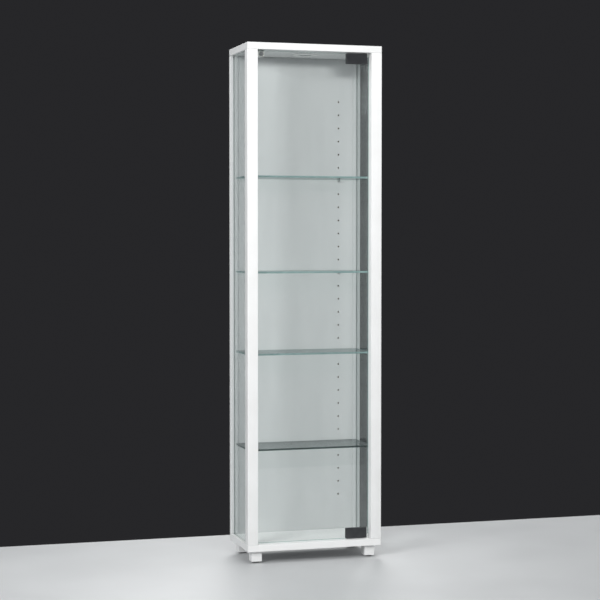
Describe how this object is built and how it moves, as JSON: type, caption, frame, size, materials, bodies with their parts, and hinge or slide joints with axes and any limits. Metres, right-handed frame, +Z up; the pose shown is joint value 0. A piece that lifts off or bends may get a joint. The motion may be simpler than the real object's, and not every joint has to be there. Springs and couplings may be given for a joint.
{
  "type": "curio cabinet",
  "caption": "Tall narrow display cabinet with white posts and boards, glass sides, glass shelves on pins, a pivoting frameless glass door, a touch latch and a ceiling lamp.",
  "frame": {"origin": "on the floor, under the middle of the cabinet's footprint", "axes": "+Z up, +X to the right seen from the front, +Y to the back; the door faces -Y"},
  "size_m": [0.46, 0.24, 1.7],
  "materials": {
    "white_foil": "satin white foil over board",
    "light_grey_panel": "matt light grey foil over board",
    "clear_glass": "clear float glass with green edges",
    "hinge_metal": "satin dark grey",
    "bright_steel": "bright nickel plated",
    "white_nylon": "moulded, matt",
    "black_plastic": "moulded, fine grain",
    "frosted_lens": "frosted diffuser",
    "circuit_board": "green solder mask"
  },
  "bodies": {
    "root": {"top_board": "white_foil", "bottom_board": "white_foil", "front_post_left": "white_foil", "front_post_right": "white_foil", "rear_stile_left": "white_foil", "rear_stile_right": "white_foil", "back_panel": "light_grey_panel", "side_glass_left": "clear_glass", "side_glass_right": "clear_glass", "glass_shelf_1": "clear_glass", "glass_shelf_2": "clear_glass", "glass_shelf_3": "clear_glass", "glass_shelf_4": "clear_glass", "shelf_pin_1_front_left": "bright_steel", "shelf_pin_1_front_right": "bright_steel", "shelf_pin_1_rear_left": "bright_steel", "shelf_pin_1_rear_right": "bright_steel", "shelf_pin_2_front_left": "bright_steel", "shelf_pin_2_front_right": "bright_steel", "shelf_pin_2_rear_left": "bright_steel", "shelf_pin_2_rear_right": "bright_steel", "shelf_pin_3_front_left": "bright_steel", "shelf_pin_3_front_right": "bright_steel", "shelf_pin_3_rear_left": "bright_steel", "shelf_pin_3_rear_right": "bright_steel", "shelf_pin_4_front_left": "bright_steel", "shelf_pin_4_front_right": "bright_steel", "shelf_pin_4_rear_left": "bright_steel", "shelf_pin_4_rear_right": "bright_steel", "leg_front_left": "white_foil", "leg_bolt_front_left": "bright_steel", "glide_front_left": "black_plastic", "leg_front_right": "white_foil", "leg_bolt_front_right": "bright_steel", "glide_front_right": "black_plastic", "leg_rear_left": "white_foil", "leg_bolt_rear_left": "bright_steel", "glide_rear_left": "black_plastic", "leg_rear_right": "white_foil", "leg_bolt_rear_right": "bright_steel", "glide_rear_right": "black_plastic", "pivot_bush_bottom": "white_nylon", "pivot_bush_top": "white_nylon", "lamp_housing": "black_plastic", "lamp_led_board": "circuit_board", "lamp_lens": "frosted_lens", "lamp_bezel": "bright_steel", "cable_grommet": "black_plastic", "latch_body": "white_nylon"},
    "door": {"door_glass": "clear_glass", "hinge_front_plate_bottom": "hinge_metal", "hinge_rear_plate_bottom": "hinge_metal", "hinge_clamp_screw_bottom": "bright_steel", "pivot_pin_bottom": "bright_steel", "hinge_front_plate_top": "hinge_metal", "hinge_rear_plate_top": "hinge_metal", "hinge_clamp_screw_top": "bright_steel", "pivot_pin_top": "bright_steel", "latch_strike": "bright_steel"},
    "latch_plunger_body": {"latch_plunger": "bright_steel"}
  },
  "joints": [
    {"name": "door_swing", "type": "hinge", "parent": "root", "child": "door", "pos_m": [0.181, -0.0925, 0], "axis": [0, 0, 1], "range_deg": [0, 100]},
    {"name": "latch_press", "type": "slide", "parent": "root", "child": "latch_plunger_body", "axis": [0, 1, 0], "range_m": [0, 0.003], "stiffness_N_per_m": 600, "springref_m": -0.002}
  ]
}
